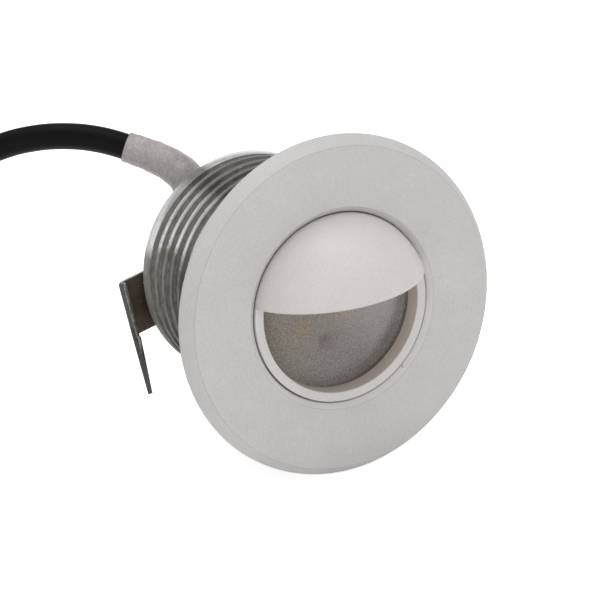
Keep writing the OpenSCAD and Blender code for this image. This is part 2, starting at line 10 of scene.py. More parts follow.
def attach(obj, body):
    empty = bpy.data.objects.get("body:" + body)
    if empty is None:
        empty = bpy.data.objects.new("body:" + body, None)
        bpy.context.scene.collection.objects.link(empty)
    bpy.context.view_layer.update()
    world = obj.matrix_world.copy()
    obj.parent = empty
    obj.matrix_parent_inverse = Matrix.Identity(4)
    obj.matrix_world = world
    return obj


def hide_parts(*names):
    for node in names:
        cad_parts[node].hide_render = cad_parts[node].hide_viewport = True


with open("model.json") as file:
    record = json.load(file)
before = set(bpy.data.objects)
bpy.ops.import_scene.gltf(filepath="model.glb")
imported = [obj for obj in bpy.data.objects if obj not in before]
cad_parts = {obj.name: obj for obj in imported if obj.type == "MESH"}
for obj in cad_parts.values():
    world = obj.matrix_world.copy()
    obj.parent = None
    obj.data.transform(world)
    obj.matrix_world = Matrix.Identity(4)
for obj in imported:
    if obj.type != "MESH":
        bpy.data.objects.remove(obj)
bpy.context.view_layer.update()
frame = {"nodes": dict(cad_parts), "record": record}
MM = 0.001

# Camera: it stands to the left of the light and above it, with a long lens. Its place was fitted to the
# outlines of the flange, the lens and the hood, and to the body's rear edge.
camera_data = bpy.data.cameras.new("photo_camera")
camera_data.sensor_width = 36
camera_data.lens = 240
camera_data.clip_start = 0.01
camera_data.clip_end = 20
camera = bpy.data.objects.new("photo_camera", camera_data)
camera.location = (-0.29082, -0.57912, 0.22241)
camera.rotation_euler = [math.radians(a) for a in (71.046, 6.805, -28.480)]
bpy.context.scene.collection.objects.link(camera)
bpy.context.scene.camera = camera
bpy.context.scene.view_settings.view_transform = "Standard"

# Cord: a round two-core lead with a black PVC jacket, extruded in one length and cut to half a metre.
# It leaves the gland, rises, turns left and comes down to the table, where the rest lies coiled.
cord_d = 4.8
route = [
    (0, 40, 0), (0, 43.5, 0.6), (0, 46.6, 2.6), (-0.1, 48.7, 5.9), (-0.7, 49.5, 9.5),
    (-1.8, 50, 12.8), (-3.3, 51, 14.7), (-5.1, 52.3, 16.2), (-7.4, 54, 17.8), (-9.8, 56, 19.1),
    (-13.5, 59.5, 20.7), (-18, 63.5, 21.6), (-23, 67.3, 21.6), (-28, 70.6, 20.6),
    (-33, 73.6, 18.5), (-37.5, 76, 15), (-41.2, 77.8, 10.4), (-44.2, 79, 5), (-46.6, 79.8, -1),
    (-48.8, 80.2, -7), (-50.8, 80.3, -13), (-53.6, 80.5, -18.5), (-57.3, 80.8, -23),
    (-61.7, 81.5, -26),
]
floor_z = -30
tie_t = 0.6
tie_lift = 0.1
coil_centre = (-79, 58)
coil_r = 27.4
coil_pitch = 5.4
coil_start = 72
coil_turns = 2.45
coil_turn_back = 1.25
coil_climb = 0.5
steps_per_turn = 24
coil_steps = round(coil_turns * steps_per_turn)
coil_z = floor_z + tie_t + tie_lift + cord_d / 2


def coil_radius(turn):
    return coil_r - coil_pitch * (coil_turn_back - abs(turn - coil_turn_back))


def coil_at(turn):
    """A point of the coil: it winds in, climbs one layer and winds out again on top."""
    angle = math.radians(coil_start + 360 * turn)
    level = min(1, max(0, (turn - coil_turn_back) / coil_climb + 0.5))
    return Vector((
        coil_centre[0] + coil_radius(turn) * math.cos(angle),
        coil_centre[1] + coil_radius(turn) * math.sin(angle),
        coil_z + coil_pitch * level,
    ))


def coil_heading(turn):
    angle = math.radians(coil_start + 360 * turn)
    return Vector((-math.sin(angle), math.cos(angle), 0))


coil_in = coil_at(0) - cord_d * coil_heading(0)
coil_end = coil_at(coil_turns) + cord_d * coil_heading(coil_turns)
coil_loops = [coil_at(i * coil_turns / coil_steps) for i in range(coil_steps + 1)]
cord_line = [Vector(p) for p in route] + [coil_in] + coil_loops + [coil_end]


def smooth_curve(name, points, radii, caps=True):
    """A round tube that runs smoothly through the points, which are in millimetres."""
    data = bpy.data.curves.new(name, "CURVE")
    data.dimensions = "3D"
    data.bevel_depth = MM
    data.bevel_resolution = 6
    data.resolution_u = 6
    data.use_fill_caps = caps
    spline = data.splines.new("BEZIER")
    spline.bezier_points.add(len(points) - 1)
    for knot, point, radius in zip(spline.bezier_points, points, radii):
        knot.co = Vector(point) * MM
        knot.handle_left_type = knot.handle_right_type = "AUTO"
        knot.radius = radius
    piece = bpy.data.objects.new(name, data)
    bpy.context.scene.collection.objects.link(piece)
    return piece


def node(tree, kind, inputs=None, **settings):
    """Adds a shader node. An input given as a socket is linked, and any other is set as a value."""
    made = tree.nodes.new("ShaderNode" + kind)
    for key, value in settings.items():
        setattr(made, key, value)
    for key, value in (inputs or {}).items():
        if isinstance(value, bpy.types.NodeSocket):
            tree.links.new(value, made.inputs[key])
        else:
            made.inputs[key].default_value = value
    return made


def math_node(tree, operation, *values):
    return node(tree, "Math", dict(enumerate(values)), operation=operation).outputs[0]


def product(tree, *values):
    """Several values times each other, such as masks that must all hold."""
    return reduce(lambda so_far, value: math_node(tree, "MULTIPLY", so_far, value), values)


def below(tree, value, limit):
    """A mask of the places where a value is less than its limit."""
    return math_node(tree, "LESS_THAN", value, limit)


def new_group(name, inputs, outputs):
    """An empty shader group with number inputs at their usual values, and number outputs."""
    tree = bpy.data.node_groups.new(name, "ShaderNodeTree")
    for socket, value in inputs.items():
        made = tree.interface.new_socket(socket, in_out="INPUT", socket_type="NodeSocketFloat")
        made.default_value = value
    for socket in outputs:
        tree.interface.new_socket(socket, in_out="OUTPUT", socket_type="NodeSocketFloat")
    return tree, tree.nodes.new("NodeGroupInput").outputs, tree.nodes.new("NodeGroupOutput").inputs


def place_group(tree, group, **values):
    """Places a group in a material and sets its inputs."""
    made = tree.nodes.new("ShaderNodeGroup")
    made.node_tree = group
    for key, value in values.items():
        made.inputs[key].default_value = value
    return made.outputs


def millimetres(tree):
    """The place on the piece, in millimetres."""
    place = node(tree, "TexCoord").outputs["Object"]
    return node(tree, "VectorMath", {0: place, "Scale": 1 / MM}, operation="SCALE").outputs[0]


# Blotches: a soft uneven tone, with patches of the size given, from 0 to 1
blotches, given, result = new_group("blotches", {"Size": 5, "Detail": 3}, ["Tone"])
blotch_scale = math_node(blotches, "DIVIDE", 1, given["Size"])
blotch_noise = node(blotches, "TexNoise", {
    "Vector": millimetres(blotches), "Scale": blotch_scale, "Detail": given["Detail"], "Roughness": 0.55,
})
blotches.links.new(blotch_noise.outputs["Fac"], result["Tone"])

# Specks: small sparse spots; Amount is the share of cells that have one
specks, given, result = new_group("specks", {"Spacing": 4, "Size": 0.2, "Amount": 0.3}, ["Mask"])
speck_scale = math_node(specks, "DIVIDE", 1, given["Spacing"])
speck_cells = node(specks, "TexVoronoi", {
    "Vector": millimetres(specks), "Scale": speck_scale, "Randomness": 1,
})
speck_reach = math_node(specks, "DIVIDE", given["Size"], given["Spacing"])
speck_near = below(specks, speck_cells.outputs["Distance"], speck_reach)
speck_pick = node(specks, "SeparateColor", {0: speck_cells.outputs["Color"]}).outputs[0]
speck_kept = below(specks, speck_pick, given["Amount"])
specks.links.new(product(specks, speck_near, speck_kept), result["Mask"])


def new_material(name, **values):
    """A material with its Principled shader, whose uniform values are set on its own sockets."""
    material = bpy.data.materials.new(name)
    material.use_nodes = True
    tree = material.node_tree
    shader = tree.nodes["Principled BSDF"]
    for key, value in values.items():
        shader.inputs[key.replace("_", " ")].default_value = value
    return material, tree, shader.inputs


def blend(tree, low, high, mask):
    """Mixes two colours by a mask. Each is three numbers, or the socket of an earlier mix."""
    ends = [end if isinstance(end, bpy.types.NodeSocket) else (*end, 1) for end in (low, high)]
    mixed = node(tree, "Mix", {"Factor": mask, "A": ends[0], "B": ends[1]}, data_type="RGBA")
    return mixed.outputs["Result"]


def tone(tree, low, high, mask, shader_input):
    """Mixes two colours by a mask into a shader's input."""
    tree.links.new(blend(tree, low, high, mask), shader_input)


def ramp(tree, value, start, stop, low=0, high=1):
    """Goes from low to high while a value goes from start to stop, and stays level beyond them."""
    return node(tree, "MapRange", {
        "Value": value, "From Min": start, "From Max": stop, "To Min": low, "To Max": high,
    }).outputs[0]


def span(tree, mask, low, high, shader_input=None):
    """Spreads a mask of 0 to 1 between two values. Noise stays near a half and seldom reaches them."""
    spread = ramp(tree, mask, 0, 1, low, high)
    if shader_input:
        tree.links.new(spread, shader_input)
    return spread


def relief(tree, height, depth, shader_inputs, under=None):
    """Bump of the depth given, in millimetres."""
    inputs = {"Height": height, "Distance": depth * MM}
    if under:
        inputs["Normal"] = under
    bump = node(tree, "Bump", inputs)
    tree.links.new(bump.outputs[0], shader_inputs["Normal"])
    return bump.outputs[0]


def give(piece, *materials):
    piece.data.materials.clear()
    for material in materials:
        piece.data.materials.append(material)


jacket, tree, sockets = new_material("black_jacket", Specular_IOR_Level=0.1)
handling = place_group(tree, blotches, Size=3, Detail=5)["Tone"]
tone(tree, (0.002, 0.002, 0.0024), (0.006, 0.006, 0.0063), handling, sockets["Base Color"])
span(tree, handling, 0.42, 0.62, sockets["Roughness"])
relief(tree, place_group(tree, blotches, Size=0.5, Detail=4)["Tone"], 0.03, sockets)

cord = smooth_curve("lead_cord", cord_line, [cord_d / 2] * len(cord_line))
give(cord, jacket)
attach(cord, "lamp")
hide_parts("cord_run", "cord_coil")

# Label sleeve: a pale heat-shrink tube, slid over the cord beside the gland and shrunk on with hot air.
# It is tightest at its far end, stands a little off the cord and has fine creases.
sleeve_from = 4
sleeve_to = 9
sleeve_r = 3.4
sleeve_end_r = 2.75
sleeve_wall = 0.2
crease_size = 2.2
crease_depth = 0.28
sleeve_line = route[sleeve_from:sleeve_to + 1]


def select_only(piece):
    bpy.ops.object.select_all(action="DESELECT")
    piece.select_set(True)
    bpy.context.view_layer.objects.active = piece


def add_modifier(piece, kind, **settings):
    """Adds a modifier and applies it."""
    select_only(piece)
    modifier = piece.modifiers.new(kind, kind)
    for key, value in settings.items():
        setattr(modifier, key, value)
    bpy.ops.object.modifier_apply(modifier=modifier.name)


def shade(piece, angle=35):
    select_only(piece)
    bpy.ops.object.shade_smooth_by_angle(angle=math.radians(angle))


def total(tree, *values):
    """The sum of several values."""
    return reduce(lambda so_far, value: math_node(tree, "ADD", so_far, value), values)


sleeve_steps = len(sleeve_line) - 1
sleeve_radii = [
    sleeve_r + (sleeve_end_r - sleeve_r) * step / sleeve_steps for step in range(sleeve_steps + 1)
]
sleeve = smooth_curve("blank_label_sleeve", sleeve_line, sleeve_radii, caps=False)
sleeve.data.resolution_u = 16
sleeve.data.bevel_resolution = 14
select_only(sleeve)
bpy.ops.object.convert(target="MESH")
creases = bpy.data.textures.new("sleeve_creases", "CLOUDS")
creases.noise_scale = crease_size * MM
add_modifier(sleeve, "DISPLACE", texture=creases, strength=crease_depth * MM, mid_level=0.5)
add_modifier(sleeve, "SOLIDIFY", thickness=sleeve_wall * MM, offset=-1)
shade(sleeve, 50)
sleeve_film, tree, sockets = new_material("sleeve_film", Roughness=0.4, Specular_IOR_Level=0.4)
smudges = place_group(tree, blotches, Size=2.5, Detail=6)["Tone"]
rubbed = place_group(tree, blotches, Size=0.5, Detail=3)["Tone"]
uneven = total(tree, span(tree, smudges, -0.6, 1), span(tree, rubbed, -0.5, 1.1))
tone(tree, (0.33, 0.302, 0.296), (0.54, 0.505, 0.5), uneven, sockets["Base Color"])
span(tree, smudges, 0.5, 0.32, sockets["Roughness"])
relief(tree, rubbed, 0.05, sockets)
give(sleeve, sleeve_film)
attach(sleeve, "lamp")
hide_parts("label_sleeve")

# Cores: two stranded copper wires in brown and blue PVC, which stick out where the jacket is cut back.
# Their ends are stripped, twisted and dipped in solder, ready for the supply's terminals.
core_d = 1.9
core_gap = 0.1
core_steps = 6
core_step = 3
core_spread = 0.036
core_droop = 0.12
tip_l = 6
tip_d = 1
tip_shares = (0, 0.3, 0.6, 0.92, 1)
tip_radii = [tip_d / 2] * (len(tip_shares) - 1) + [tip_d / 3]
core_heading = coil_heading(coil_turns)
core_side = Vector((0, 0, 1)).cross(core_heading)


def core_at(side, step):
    apart = core_d / 2 + core_gap + core_spread * step * step
    drop = Vector((0, 0, core_droop * step * step))
    return coil_end + core_step * step * core_heading + side * apart * core_side - drop


tips = []
for name, side, colours in (
    ("core_brown", 1, ((0.16, 0.06, 0.025), (0.24, 0.1, 0.045))),
    ("core_blue", -1, ((0.02, 0.09, 0.34), (0.04, 0.15, 0.46))),
):
    insulation, tree, sockets = new_material(name + "_insulation", Roughness=0.4)
    tone(tree, *colours, place_group(tree, blotches, Size=2, Detail=4)["Tone"], sockets["Base Color"])
    relief(tree, place_group(tree, blotches, Size=0.4, Detail=3)["Tone"], 0.02, sockets)
    core_line = [core_at(side, step) for step in range(core_steps + 1)]
    core = smooth_curve(name + "_wire", core_line, [core_d / 2] * len(core_line))
    give(core, insulation)
    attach(core, "lamp")
    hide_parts(name)
    along = (core_line[-1] - core_line[-2]).normalized()
    strands = [core_line[-1] + along * tip_l * share for share in tip_shares]
    tips.append(smooth_curve("tip_" + name, strands, tip_radii))
for tip in tips:
    select_only(tip)
    bpy.ops.object.convert(target="MESH")
select_only(tips[0])
tips[1].select_set(True)
bpy.ops.object.join()
tinned, tree, sockets = new_material("tinned_copper", Metallic=1, Roughness=0.35)
solder = place_group(tree, blotches, Size=0.7, Detail=3)["Tone"]
tone(tree, (0.5, 0.5, 0.48), (0.75, 0.74, 0.72), solder, sockets["Base Color"])
relief(tree, solder, 0.15, sockets)
give(tips[0], tinned)
tips[0].name = "tinned_tips"
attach(tips[0], "lamp")
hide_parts("core_tips")

# Coil tie: a moulded nylon strap, pulled tight round the coil's three strands. Its ratchet head sits on
# top of them, and its tail is cut off short beyond the head.
tie_turn = 0.106
tie_w = 3
tie_angle = math.radians(coil_start + 360 * tie_turn)
tie_r = cord_d / 2 + tie_lift
tie_strands = [
    (coil_radius(tie_turn), tie_r),
    (coil_radius(tie_turn + 1), tie_r),
    (coil_radius(tie_turn + 2), tie_r + coil_pitch),
]
head_w = 4.6
head_low = -0.5
head_high = 2.1
tail_w = 2.6
tail_l = 1.8
tail_rise = 0.5


def hull_of_rods(name, radius, width):
    """A flat-ended solid that wraps rods of that radius, laid where the coil's strands pass."""
    rods = []
    for x, z in tie_strands:
        bpy.ops.mesh.primitive_cylinder_add(
            vertices=64, radius=radius * MM, depth=width * MM,
            location=(x * MM, 0, z * MM), rotation=(math.pi / 2, 0, 0),
        )
        rods.append(bpy.context.object)
    select_only(rods[0])
    for rod in rods[1:]:
        rod.select_set(True)
    bpy.ops.object.join()
    bpy.ops.object.transform_apply()
    piece = bpy.context.object
    piece.name = name
    bpy.ops.object.mode_set(mode="EDIT")
    bpy.ops.mesh.select_all(action="SELECT")
    bpy.ops.mesh.convex_hull()
    bpy.ops.object.mode_set(mode="OBJECT")
    return piece


def add_block(name, low, high):
    """A cube primitive stretched between two corners, in millimetres."""
    bpy.ops.object.select_all(action="DESELECT")
    bpy.ops.mesh.primitive_cube_add(size=1)
    piece = bpy.context.object
    piece.name = name
    size = Vector(high) - Vector(low)
    middle = (Vector(high) + Vector(low)) / 2
    piece.data.transform(Matrix.Translation(middle * MM) @ Matrix.Diagonal((*(size * MM), 1)))
    return piece


def combine(piece, other, operation="UNION"):
    """Joins or cuts one closed piece with another, which is used up."""
    add_modifier(piece, "BOOLEAN", object=other, operation=operation, solver="EXACT")
    bpy.data.objects.remove(other)


def round_edges(piece, width, segments=2, angle=30):
    """Rounds the sharp edges, by a width in millimetres, and shades the piece smooth."""
    add_modifier(
        piece, "BEVEL", width=width * MM, segments=segments, limit_method="ANGLE",
        angle_limit=math.radians(angle), miter_outer="MITER_ARC",
    )
    shade(piece)


tie = hull_of_rods("coil_strap", tie_r + tie_t, tie_w)
combine(tie, hull_of_rods("inside", tie_r, 2 * tie_w), "DIFFERENCE")
head_x = tie_strands[2][0]
head_z = tie_strands[2][1] + tie_r + tie_t
head = add_block(
    "ratchet_head",
    (head_x - head_w / 2, -head_w / 2, head_z + head_low),
    (head_x + head_w / 2, head_w / 2, head_z + head_high),
)
round_edges(head, 0.5, 3)
combine(tie, head)
combine(tie, add_block(
    "cut_tail",
    (head_x, -tail_w / 2, head_z + tail_rise),
    (head_x + head_w / 2 + tail_l, tail_w / 2, head_z + tail_rise + tie_t),
))
round_edges(tie, 0.12)
tie_place = Matrix.Translation(Vector((*coil_centre, floor_z + tie_t)) * MM)
tie.data.transform(tie_place @ Matrix.Rotation(tie_angle, 4, "Z"))
nylon, tree, sockets = new_material("black_nylon", Roughness=0.45)
moulded = place_group(tree, blotches, Size=1.2, Detail=5)["Tone"]
tone(tree, (0.018, 0.018, 0.019), (0.035, 0.035, 0.036), moulded, sockets["Base Color"])
span(tree, moulded, 0.38, 0.55, sockets["Roughness"])
relief(tree, place_group(tree, blotches, Size=0.3, Detail=3)["Tone"], 0.015, sockets)
give(tie, nylon)
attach(tie, "lamp")
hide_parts("coil_tie")

# Front flange: the white ring that covers the hole's edge, turned from aluminium and powder-coated.
# Its neck screws over the housing, and its lip keeps the eyelid in.
flange_r = 30
rim_y = -0.6
face_r = 28.4
face_y = -3
lip_r = 17.8
lip_edge_r = 16.75
lip_edge_y = -1.85
lip_back_y = -0.8
neck_r = 20.25
neck_bore_r = 18.9
neck_end_y = 5
flange_outline = [
    (lip_r, face_y), (face_r, face_y), (flange_r, rim_y), (flange_r, 0), (neck_r, 0),
    (neck_r, neck_end_y), (neck_bore_r, neck_end_y), (neck_bore_r, lip_back_y),
    (lip_edge_r, lip_back_y), (lip_edge_r, lip_edge_y),
]
weld_gap = 0.001


def turn_outline(name, outline, steps=192, centre=(0, 0), axis="Y"):
    """Draws a closed outline of (radius, height) points vertex by vertex, and spins it round an axis."""
    def place(radius, height):
        if axis == "Y":
            return Vector((centre[0] + radius, height, centre[1])) * MM
        return Vector((centre[0] + radius, centre[1], height)) * MM

    if axis == "Y":
        hub = (centre[0] * MM, 0, centre[1] * MM)
        direction = (0, 1, 0)
    else:
        hub = (centre[0] * MM, centre[1] * MM, 0)
        direction = (0, 0, 1)
    bpy.ops.object.select_all(action="DESELECT")
    bpy.ops.mesh.primitive_plane_add(size=MM)
    piece = bpy.context.object
    piece.name = name
    bpy.ops.object.mode_set(mode="EDIT")
    bpy.ops.mesh.select_mode(type="VERT")
    bpy.ops.mesh.select_all(action="SELECT")
    bpy.ops.mesh.merge(type="CENTER")
    at = Vector((0, 0, 0))
    bpy.ops.transform.translate(value=place(*outline[0]) - at)
    at = place(*outline[0])
    for point in outline[1:] + outline[:1]:
        bpy.ops.mesh.extrude_region_move(TRANSFORM_OT_translate={"value": place(*point) - at})
        at = place(*point)
    bpy.ops.mesh.select_all(action="SELECT")
    bpy.ops.mesh.remove_doubles(threshold=weld_gap * MM)
    bpy.ops.mesh.spin(steps=steps, angle=2 * math.pi, center=hub, axis=direction)
    bpy.ops.mesh.select_all(action="SELECT")
    bpy.ops.mesh.remove_doubles(threshold=weld_gap * MM)
    bpy.ops.mesh.normals_make_consistent(inside=False)
    bpy.ops.object.mode_set(mode="OBJECT")
    return piece


flange = turn_outline("flange_ring", flange_outline, 256)
round_edges(flange, 0.12, 2, 25)


def coordinates(tree):
    """The x, y and z of the place on the piece, in millimetres."""
    return node(tree, "SeparateXYZ", {0: millimetres(tree)}).outputs


def from_axis(tree, x, z):
    """How far a place lies from the light's axis."""
    across = node(tree, "CombineXYZ", {"X": x, "Y": z}).outputs[0]
    return node(tree, "VectorMath", {0: across}, operation="LENGTH").outputs["Value"]


def away_from(tree, value, middle):
    """How far a value lies from another, on either side."""
    return math_node(tree, "ABSOLUTE", math_node(tree, "SUBTRACT", value, middle))


def above(tree, value, limit):
    """A mask of the places where a value is more than its limit."""
    return math_node(tree, "GREATER_THAN", value, limit)


# Where the paint differs from its plain face, on the flange and on the eyelid
bevel_r = 16.95
# Painted light: the bevel inside the lip is painted lighter towards its bottom
bevel_light_from_z = 5
bevel_light_to_z = -5
bevel_light_share = 0.65
bevel_light_tone = (0.84, 0.82, 0.81)
# Thin darker lines along the given edge radii, on the front faces
edge_line_from = 0.14
edge_line_to = 0.05
edge_line_share = 0.14
# Painted shade: the surfaces in the gap behind the lip, and in the seam round the eyelid's ring, are
# painted dark
gap_y = -1.75
gap_reach = 1.3
gap_shade = 0.5
seam_r = 16.84
seam_w = 0.11
seam_y = -2.3
seam_shade = 0.4
# Painted shade: the eyelid's bore is painted a darker, warmer tone
bore_r = 15.1
bore_y = -2.25
bore_shade_share = 0.85
bore_shade_tone = (0.64, 0.565, 0.5)
dust_share = 0.55
# The dark tone of the real dust specks, of the edge lines, and of the painted shade in the gap and the
# seam
dust_and_shade_tone = (0.13, 0.105, 0.09)


def powder_coat(name, shade_low, shade_high, rough, edge_radii=()):
    """Baked powder paint, with its orange peel, an uneven tone and some dust.

    It has dark lines along the given edge radii, painted light on the lower bevel, and painted shade in
    the bore and in the gaps.
    """
    material, tree, sockets = new_material(name, Specular_IOR_Level=0.4)
    patch = place_group(tree, blotches, Size=7, Detail=4)["Tone"]
    fine = place_group(tree, blotches, Size=0.28, Detail=2)["Tone"]
    dust = place_group(tree, specks, Spacing=5, Size=0.2, Amount=0.14)["Mask"]
    x, y, z = coordinates(tree)
    radius = from_axis(tree, x, z)
    uneven = total(tree, span(tree, patch, -0.3, 0.5), span(tree, fine, -0.5, 1.3))
    paint = blend(tree, shade_low, shade_high, uneven)
    on_bevel = product(tree, below(tree, radius, lip_r), above(tree, radius, bevel_r))
    # Painted light on the lower part of the bevel
    bevel_light = ramp(tree, z, bevel_light_from_z, bevel_light_to_z, high=bevel_light_share)
    paint = blend(tree, paint, bevel_light_tone, product(tree, on_bevel, bevel_light))
    # Painted shade in the bore
    in_bore = product(tree, below(tree, radius, bore_r), above(tree, y, bore_y))
    paint = blend(tree, paint, bore_shade_tone, product(tree, in_bore, bore_shade_share))

    dust_and_shade = product(tree, dust, dust_share)
    # Darker lines along the given edges, on the front only
    in_front = below(tree, y, gap_y)
    for edge_r in edge_radii:
        edge_line = ramp(tree, away_from(tree, radius, edge_r), edge_line_from, edge_line_to, high=edge_line_share)
        dust_and_shade = math_node(tree, "MAXIMUM", dust_and_shade, product(tree, edge_line, in_front))
    # Painted shade in the gap behind the lip and in the seam
    in_gap = product(tree, above(tree, y, gap_y), below(tree, away_from(tree, radius, lip_r), gap_reach))
    dust_and_shade = math_node(tree, "MAXIMUM", dust_and_shade, product(tree, in_gap, gap_shade))
    in_seam = product(tree, above(tree, y, seam_y), below(tree, away_from(tree, radius, seam_r), seam_w))
    dust_and_shade = math_node(tree, "MAXIMUM", dust_and_shade, product(tree, in_seam, seam_shade))
    tone(tree, paint, dust_and_shade_tone, dust_and_shade, sockets["Base Color"])
    span(tree, fine, rough - 0.05, rough + 0.08, sockets["Roughness"])
    relief(tree, fine, 0.02, sockets)
    return material


flange_paint = powder_coat(
    "flange_paint", (0.566, 0.547, 0.538), (0.674, 0.657, 0.648), 0.5, (face_r, lip_r)
)
give(flange, flange_paint)
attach(flange, "lamp")
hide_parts("front_flange")

# Eyelid bezel: a die-cast ring with a quarter-ball hood, painted white. It turns behind the flange's lip.
# Its bore narrows a little towards the back, as the casting's draft leaves it.
ring_r = 16.6
ring_front_y = -2.4
ring_back_y = 0.5
ring_bore_r = 15
ring_bore_back_r = 14.65
shoulder_r = 18.7
shoulder_y = -0.6
ring_outline = [
    (ring_bore_r, ring_front_y), (ring_r, ring_front_y), (ring_r, shoulder_y),
    (shoulder_r, shoulder_y), (shoulder_r, ring_back_y), (ring_bore_back_r, ring_back_y),
]
hood_r = 16.95
hood_wall = 1.6
hood_y = 1.05
hood_edge_z = 3.9
hood_back_y = -2.1
hood_arc_steps = 40
hood_edge_round = 0.35


def arc(radius, z_from, z_to, steps):
    """Points of a quarter circle of that radius, as distance and height, between two heights."""
    start = math.asin(z_from / radius)
    sweep = math.asin(z_to / radius) - start
    angles = [start + sweep * step / steps for step in range(steps + 1)]
    return [(radius * math.cos(angle), radius * math.sin(angle)) for angle in angles]


bezel = turn_outline("eyelid_ring", ring_outline, 192)
round_edges(bezel, 0.15, 3, 25)
hood_outline = (
    arc(hood_r, hood_edge_z, hood_r, hood_arc_steps)
    + arc(hood_r - hood_wall, hood_r - hood_wall, hood_edge_z, hood_arc_steps)
)
hood = turn_outline("hood", hood_outline, 224, (0, hood_y), "Z")
round_edges(hood, hood_edge_round, 4, 50)
bpy.ops.object.mode_set(mode="EDIT")
bpy.ops.mesh.select_all(action="SELECT")
bpy.ops.mesh.bisect(
    plane_co=(0, hood_back_y * MM, 0), plane_no=(0, 1, 0), use_fill=True, clear_outer=True,
)
bpy.ops.object.mode_set(mode="OBJECT")
combine(bezel, hood)
shade(bezel, 40)
bezel.name = "eyelid"
eyelid_paint = powder_coat("eyelid_paint", (0.645, 0.617, 0.605), (0.748, 0.719, 0.708), 0.42)
give(bezel, eyelid_paint)
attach(bezel, "eyelid")
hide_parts("eyelid_bezel")

# Lens: a disc of acrylic, sand-blasted on its front face, which sits in the front of the housing.
# Its haze is uneven and a little yellowed on the left. It is painted lighter towards the upper right as
# painted light, darker near the rim on the right as painted shadow, and it carries painted glints.
lens_r = 16
lens_front_r = 15.4
lens_front_y = 1.05
lens_bevel_y = 1.35
lens_back_y = 3.05
lens_outline = [
    (0, lens_front_y), (lens_front_r, lens_front_y), (lens_r, lens_bevel_y), (lens_r, lens_back_y),
    (0, lens_back_y),
]
# Painted light: the haze grows lighter along this lean, towards the upper right
lit_haze_lean = 0.5
clear_acrylic = (0.33, 0.288, 0.245)
yellowed_acrylic = (0.325, 0.268, 0.195)
sanded_acrylic = (0.96, 0.92, 0.905)
# Painted glints: sparse bright specks in the colour
painted_sparkle_tone = (1, 0.98, 0.96)
painted_sparkle_share = 0.75
lens = turn_outline("frosted_disc", lens_outline, 128)
shade(lens, 20)
frosted, tree, sockets = new_material(
    "frosted_acrylic", IOR=1.49, Transmission_Weight=0.84, Specular_IOR_Level=0.4,
)
sand = place_group(tree, blotches, Size=0.22, Detail=3)["Tone"]
cloud = place_group(tree, blotches, Size=6, Detail=3)["Tone"]
painted_sparkle = place_group(tree, specks, Spacing=0.48, Size=0.14, Amount=0.45)["Mask"]
x, y, z = coordinates(tree)
leaning = total(tree, x, product(tree, z, lit_haze_lean))
# Painted light towards the upper right
lit_haze = ramp(tree, leaning, start=-2, stop=9, low=0.1, high=0.52)
left_margin = ramp(tree, x, start=-14, stop=-9, low=-0.3, high=0)
# Painted shadow near the rim on the right side
rim_shadow = ramp(tree, from_axis(tree, x, z), start=11.5, stop=14.8, high=-0.5)
to_right = ramp(tree, x, start=3, stop=10, low=0.15)
grains = ramp(tree, sand, start=0.38, stop=0.62, high=0.66)
haze = total(tree, grains, lit_haze, left_margin, product(tree, rim_shadow, to_right))
yellowed = ramp(tree, x, start=0, stop=-8)
acrylic = blend(tree, clear_acrylic, yellowed_acrylic, yellowed)
acrylic = blend(tree, acrylic, sanded_acrylic, haze)
tone(tree, acrylic, painted_sparkle_tone, product(tree, painted_sparkle, painted_sparkle_share), sockets["Base Color"])
span(tree, cloud, 0.26, 0.33, sockets["Roughness"])
relief(tree, sand, 0.03, sockets)
give(lens, frosted)
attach(lens, "lamp")
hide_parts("lens")

# Housing: turned from an aluminium bar, with eight cooling grooves. Its lands are bright from the tool,
# painted shade darkens its top and the groove walls there, and a dull film with painted dark reflection
# covers its lower left.
bodies = frame["record"]["behaviour"]["bodies"]
body_of = {member: body for body, members in bodies.items() for member in members}
node_weld_gap = 0.0005
flat_within = math.radians(0.3)


def copy_of_node(name, node_name):
    """A copy of a CAD node's mesh, with its triangles joined to whole faces."""
    piece = bpy.data.objects.new(name, frame["nodes"][node_name].data.copy())
    bpy.context.scene.collection.objects.link(piece)
    select_only(piece)
    bpy.ops.object.mode_set(mode="EDIT")
    bpy.ops.mesh.select_all(action="SELECT")
    bpy.ops.mesh.customdata_custom_splitnormals_clear()
    bpy.ops.mesh.remove_doubles(threshold=node_weld_gap * MM)
    bpy.ops.mesh.dissolve_limited(angle_limit=flat_within)
    bpy.ops.object.mode_set(mode="OBJECT")
    return piece


def stand_for(piece, node_name, *materials):
    """Puts a piece in a CAD node's place, with that node's body, gives it the materials and hides the
    node.
    """
    give(piece, *materials)
    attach(piece, body_of[node_name])
    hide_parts(node_name)


def rounded_copy(name, node_name, width, material, segments=2):
    """A copy of a CAD node, with its edges rounded by a width in millimetres, that stands for it."""
    piece = copy_of_node(name, node_name)
    round_edges(piece, width, segments)
    stand_for(piece, node_name, material)
    return piece


# Lathe marks: where a point lies on a turned piece, and the fine rings that the tool leaves there
streaks_along = 2
streaks_round = 9
lathe_marks, given, result = new_group("lathe_marks", {"Pitch": 0.25}, ["Radius", "Rings", "Streaks"])
x, y, z = coordinates(lathe_marks)
radius = from_axis(lathe_marks, x, z)
turn = math_node(lathe_marks, "ARCTAN2", x, z)
cuts = math_node(lathe_marks, "DIVIDE", 1, given["Pitch"])
ring_place = node(lathe_marks, "CombineXYZ", {
    "X": product(lathe_marks, y, cuts),
    "Y": product(lathe_marks, radius, cuts),
    "Z": turn,
}).outputs[0]
streak_place = node(lathe_marks, "CombineXYZ", {
    "X": product(lathe_marks, y, streaks_along),
    "Y": product(lathe_marks, radius, streaks_along),
    "Z": product(lathe_marks, turn, streaks_round),
}).outputs[0]
ring_noise = node(lathe_marks, "TexNoise", {"Vector": ring_place, "Scale": 1, "Detail": 2})
